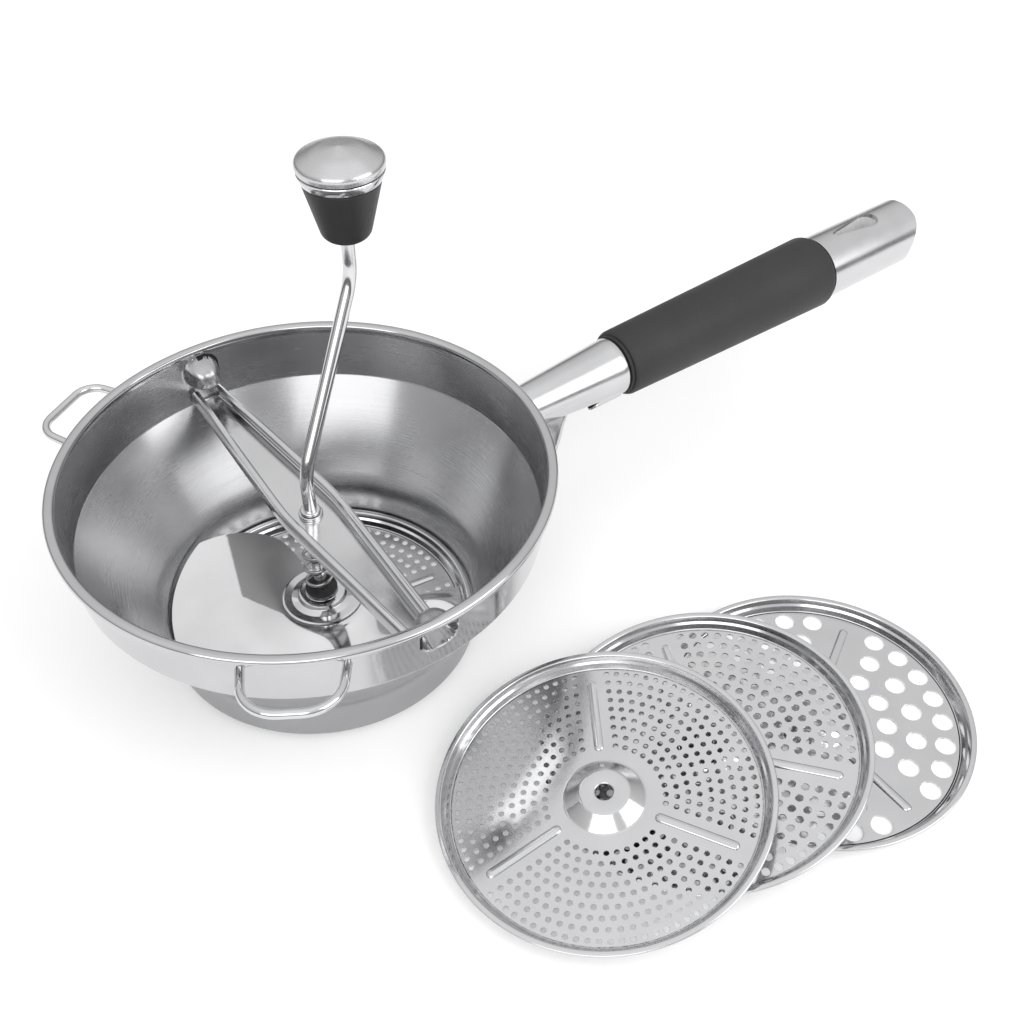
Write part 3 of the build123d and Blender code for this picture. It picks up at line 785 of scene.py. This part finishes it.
def in_painted_dark_reflection(x, y):
    """The sector between the crease, the hub and the leading edge, which is painted darker: a painted dark
    reflection.
    """
    if math.degrees(math.atan2(y, x)) % 360 > FACET_END:
        return False
    return past_line(x, y, CREASE_AT, CREASE_WAY) > 0 and past_line(x, y, FACET_AT, FACET_WAY) > 0


def crease_fall(x, y):
    """How far the blade drops on the hub's side of its crease."""
    beyond = past_line(x, y, CREASE_AT, CREASE_WAY)
    eased = (beyond + math.hypot(beyond, CREASE_SOFT)) / 2
    behind = math.degrees(math.atan2(y, x)) % 360 - 150.0
    return CREASE_FALL * eased * smooth_step(1 - (behind - CREASE_HOLD) / 50.0)


def blade_height(turn, radius):
    """Underside of the blade."""
    x, y, _ = on_circle(radius, blade_angle(turn, radius))
    share = max(0.0, radius - HUB_R) / (BLADE_R - HUB_R)
    place, width, height = RIDGE
    inner, outer = RIDGE_SPAN
    across = min(1.0, max(0.0, (radius - inner) / (outer - inner)))
    ridge = height * math.sin(math.pi * across) * math.exp(-((turn - place) / width) ** 2)
    level = BLADE_LOW + BLADE_RISE * (1 - turn) ** 2.2 - crease_fall(x, y) + ridge
    blend = smooth_step(share * 2.0)
    return HUB_LEVEL * (1 - blend) + level * blend


def blade():
    steps, rings = BLADE_GRID
    lower = []
    for i in range(steps + 1):
        turn = i / steps
        reach = blade_reach(turn)
        radii = [BLADE_EYE_R + (reach - BLADE_EYE_R) * k / rings for k in range(rings + 1)]
        lower.append([on_circle(r, blade_angle(turn, r), blade_height(turn, r)) for r in radii])
    upper = [[p + Vector((0, 0, BLADE_SHEET)) for p in row] for row in lower]
    obj = make_mesh("blade_plate", *two_sided(upper, lower, False), 50.0)
    dress(obj, STEELS["blade"], "crank", "blade_steel", "blade")
    # The sector past the crease gets a darker tone: a painted dark reflection.
    obj.data.materials.append(STEELS["painted_dark_reflection"])
    for face in obj.data.polygons:
        middle = face.center / MM
        face.material_index = int(in_painted_dark_reflection(middle.x, middle.y))


# ---- knob -----------------------------------------------------------------------------------------
def knob():
    at = (KNOB_X, KNOB_Y)
    z = KNOB_Z
    cone = [(ROD_R + 0.06, z), (9.1, z), (15.2, z + KNOB_CONE_H), (12.5, z + KNOB_CONE_H),
            (12.5, z + KNOB_BODY_H), (ROD_R + 0.06, z + KNOB_BODY_H)]
    obj = turned("knob_cone", cone, [0, 4.6, 0.4, 0, 0, 0], 96, at, 10)
    dress(obj, PLASTIC, "knob", "knob_plastic", "knob_body")
    band = [(12.5, z + 24.6), (15.5, z + 24.6), (16.7, z + 28.3), (12.5, z + 28.3)]
    obj = turned("knob_ring", band, [0, 0.4, 0.5, 0], 96, at)
    dress(obj, STEELS["bright"], "knob", "bright_steel", "knob_band")
    base = z + 28.6
    dome = [(0.01, base), (16.3, base), (17.3, base + 3.4), (10.0, KNOB_TOP - 1.7), (0.01, KNOB_TOP)]
    obj = turned("knob_dome", dome, [0, 0.4, 2.2, 16.0, 0], 128, at, 12)
    dress(obj, STEELS["cap"], "knob", "knob_steel", "knob_cap")
    collar = [(ROD_R, z - 1.3), (4.0, z - 1.3), (4.0, z - 0.3), (ROD_R, z - 0.3)]
    obj = turned("knob_stop", collar, [0, 0.3, 0.3, 0], 48, at)
    dress(obj, STEELS["bright"], "crank", "bright_steel", "knob_collar")


# ---- discs ----------------------------------------------------------------------------------------
def disc_holes(hole_r, pitch, row_gap):
    """Hole centres in concentric rows, clear of the boss and of the three ribs."""
    places = []
    first = BOSS_R + 3.0 + hole_r
    last = DISC_PLATE_R - 1.2 - hole_r
    rows = int((last - first) / row_gap) + 1
    for row in range(rows):
        radius = last - row * row_gap
        margin = math.degrees(math.asin((RIB_HALF + 1.6 + hole_r) / radius))
        sector = 120.0 - 2 * margin
        count = max(1, int(math.radians(sector) * radius / pitch) + 1 - row % 2)
        for rib in range(3):
            for k in range(count):
                places.append(on_circle(radius, rib * 120.0 + margin + (k + 0.5) * sector / count))
    return places


def circle(radius, count, centre=(0.0, 0.0), turn=0.0):
    return [(centre[0] + radius * math.cos(TAU * (k + turn) / count),
             centre[1] + radius * math.sin(TAU * (k + turn) / count)) for k in range(count)]


def perforated_plate(hole_r, places):
    """Flat plate with its holes, each hole's edges eased."""
    ease = 0.18
    sides = 14 if hole_r < 2 else 32
    loops = [circle(DISC_PLATE_R + 0.4, 160), circle(BOSS_R - 0.4, 80)]
    loops += [circle(hole_r + ease, sides, p[:2]) for p in places]
    flat = []
    edges = []
    for loop in loops:
        base = len(flat)
        flat += [Vector(p) for p in loop]
        edges += [(base + k, base + (k + 1) % len(loop)) for k in range(len(loop))]
    found = delaunay_2d_cdt(flat, edges, [], 1, 1e-5)
    spots = found[0]
    faces = []
    centres = [Vector(p[:2]) for p in places]
    for face in found[2]:
        middle = sum((spots[i] for i in face), Vector((0, 0))) / len(face)
        if middle.length < BOSS_R - 0.4 or any((middle - c).length < hole_r for c in centres):
            continue
        faces.append(tuple(face))
    top = [(p.x, p.y, DISC_SHEET) for p in spots]
    bottom = [(p.x, p.y, 0.0) for p in spots]
    shift = len(spots)
    plate = (top + bottom, faces + [tuple(i + shift for i in reversed(f)) for f in faces])
    parts = [plate]
    for p in places:
        rings = []
        for r, z in ((hole_r + ease, DISC_SHEET), (hole_r + ease * 0.3, DISC_SHEET - ease * 0.3),
                     (hole_r, DISC_SHEET - ease), (hole_r, ease), (hole_r + ease, 0.0)):
            rings.append([(x, y, z) for x, y in circle(r, sides, p[:2])])
        parts.append(loft(rings, (False, False)))
    return merged(parts)


def disc_rim():
    top = DISC_RIM_H
    corners = [(DISC_PLATE_R - 0.2, 0.0), (DISC_FOOT_R, 0.0), (DISC_FOOT_R + 0.8, 2.2), (DISC_R - 2.6, 3.0),
               (DISC_R - 1.6, top - 1.6), (DISC_R, top - 1.3), (DISC_R, top), (DISC_R - 2.2, top),
               (DISC_R - 3.2, 3.9), (DISC_PLATE_R + 1.6, 3.0), (DISC_PLATE_R + 0.6, DISC_SHEET),
               (DISC_PLATE_R - 0.2, DISC_SHEET)]
    radii = [0, 0.5, 0.5, 0.5, 0.5, 0.55, 0.55, 0.8, 0.4, 0.4, 0.5, 0]
    return lathe([(p.x, p.y) for p in rounded(corners, radii, 4, closed=True)], 200)


def disc_boss():
    t = DISC_SHEET
    corners = [(BOSS_R + 0.5, 0.0), (BOSS_R - 0.8, 0.0), (BOSS_CROWN_R + 0.6, BOSS_H - t),
               (EYE_R + t, BOSS_H - t), (EYE_R + t, BOSS_H - 2.4), (EYE_R, BOSS_H - 2.4),
               (EYE_R, BOSS_H), (BOSS_CROWN_R, BOSS_H), (BOSS_R - 0.2, t), (BOSS_R + 0.5, t)]
    radii = [0, 1.5, 1.5, 0.3, 0.2, 0.2, 0.7, 2.4, 2.0, 0]
    return lathe([(p.x, p.y) for p in rounded(corners, radii, 6, closed=True)], 96)


def rib(angle):
    """Pressed rib: a low rounded bar with rounded ends."""
    rings = []
    sides = 16
    length = RIB_SPAN[1] - RIB_SPAN[0]
    for k in range(25):
        along = -math.cos(math.pi * k / 24)
        x = RIB_SPAN[0] + length * (along + 1) / 2
        near = min(x - RIB_SPAN[0], RIB_SPAN[1] - x)
        share = math.sqrt(max(0.0, 1 - (1 - min(1.0, near / RIB_HALF)) ** 2))
        half = max(0.02, RIB_HALF * share)
        ring = []
        for s in range(sides + 1):
            a = math.pi * s / sides
            ring.append(Vector((x, half * math.cos(a), DISC_SHEET - 0.02 + 1.0 * share * math.sin(a) ** 0.8)))
        rings.append([Matrix.Rotation(math.radians(angle), 3, "Z") @ p for p in ring])
    return loft(rings)


def discs():
    bodies = {"disc_fine": "spare_fine", "disc_medium": "spare_medium", "disc_coarse": "spare_coarse",
              "disc_fitted": "mill"}
    for name, body in bodies.items():
        hole_r, pitch, row_gap = HOLES[name]
        parts = [perforated_plate(hole_r, disc_holes(hole_r, pitch, row_gap)), disc_rim(), disc_boss()]
        parts += [rib(angle) for angle in (0.0, 120.0, 240.0)]
        x, y, way, lean, rib_angle = PLACES[name]
        z = DISC_SEAT_Z + DISC_FOOT_R * math.sin(math.radians(lean))
        place = Matrix.Translation((x, y, z)) @ Matrix.Rotation(math.radians(way), 4, "Z")
        place = place @ Matrix.Rotation(math.radians(-lean), 4, "Y")
        place = place @ Matrix.Rotation(math.radians(rib_angle - way), 4, "Z")
        points, faces = merged(parts)
        obj = make_mesh(name + "_pressing", [place @ Vector(p) for p in points], faces)
        dress(obj, STEELS["disc"], body, "disc_steel", name)


# ---- stage, light and camera ----------------------------------------------------------------------
def stage():
    low = (0, 0, (DISC_SEAT_Z - 0.1) * MM)
    bpy.ops.mesh.primitive_circle_add(vertices=64, radius=6.0, fill_type="NGON", location=low)
    floor = bpy.context.object
    floor.name = "floor"
    material, tree, shader = new_material("floor_paper")
    shader.inputs["Base Color"].default_value = (0.93, 0.93, 0.93, 1)
    shader.inputs["Roughness"].default_value = 0.9
    shader.inputs["Specular IOR Level"].default_value = 0.1
    shader.inputs["Emission Color"].default_value = (1, 1, 1, 1)
    shader.inputs["Emission Strength"].default_value = 0.16
    floor.data.materials.append(material)


def light(name, place, aim, size, power):
    data = bpy.data.lights.new(name, "AREA")
    data.shape = "RECTANGLE"
    data.size = size[0]
    data.size_y = size[1]
    data.energy = power
    obj = bpy.data.objects.new(name, data)
    obj.location = place
    obj.rotation_euler = (Vector(aim) - Vector(place)).to_track_quat("-Z", "Y").to_euler()
    bpy.context.scene.collection.objects.link(obj)


def studio():
    scene = bpy.context.scene
    scene.view_settings.view_transform = "Standard"
    world = bpy.data.worlds.new("studio")
    scene.world = world
    world.use_nodes = True
    tree = world.node_tree
    tree.nodes.clear()
    where = add(tree, "TexCoord").outputs["Generated"]
    height = add(tree, "SeparateXYZ", {0: where}).outputs[2]
    ramp = add(tree, "ValToRGB", {0: height})
    stops = [(0.0, 0.2), (0.16, 0.22), (0.3, 0.55), (0.55, 0.8), (0.75, 0.85), (1.0, 1.1)]
    elements = ramp.color_ramp.elements
    while len(elements) < len(stops):
        elements.new(0.5)
    for element, (position, grey) in zip(elements, stops):
        element.position = position
        element.color = (grey, grey, grey, 1)
    back = add(tree, "Background", {0: ramp.outputs[0], 1: 1.0})
    output = add(tree, "OutputWorld")
    tree.links.new(back.outputs[0], output.inputs[0])
    light("left_softbox", (-1.1, -0.9, 1.1), (0, 0, 0.04), (1.5, 1.1), 9)
    light("right_softbox", (0.75, -1.2, 1.0), (0.05, 0, 0.04), (1.2, 1.2), 9)


def camera():
    data = bpy.data.cameras.new("camera")
    data.sensor_width = 36.0
    data.lens = 45.7
    obj = bpy.data.objects.new("camera", data)
    obj.location = (-0.1596, -0.3586, 0.4218)
    obj.rotation_euler = (math.radians(90 - 43.26), 0, math.radians(-36.0))
    bpy.context.scene.collection.objects.link(obj)
    bpy.context.scene.camera = obj


plain_nodes()
bowl()
hooks()
handle_neck()
seam_tube()
handle_grip()
hole_wall_painted_light()
crossbar()
bar_fittings()
crank()
spring()
hub()
blade()
knob()
discs()
stage()
studio()
camera()
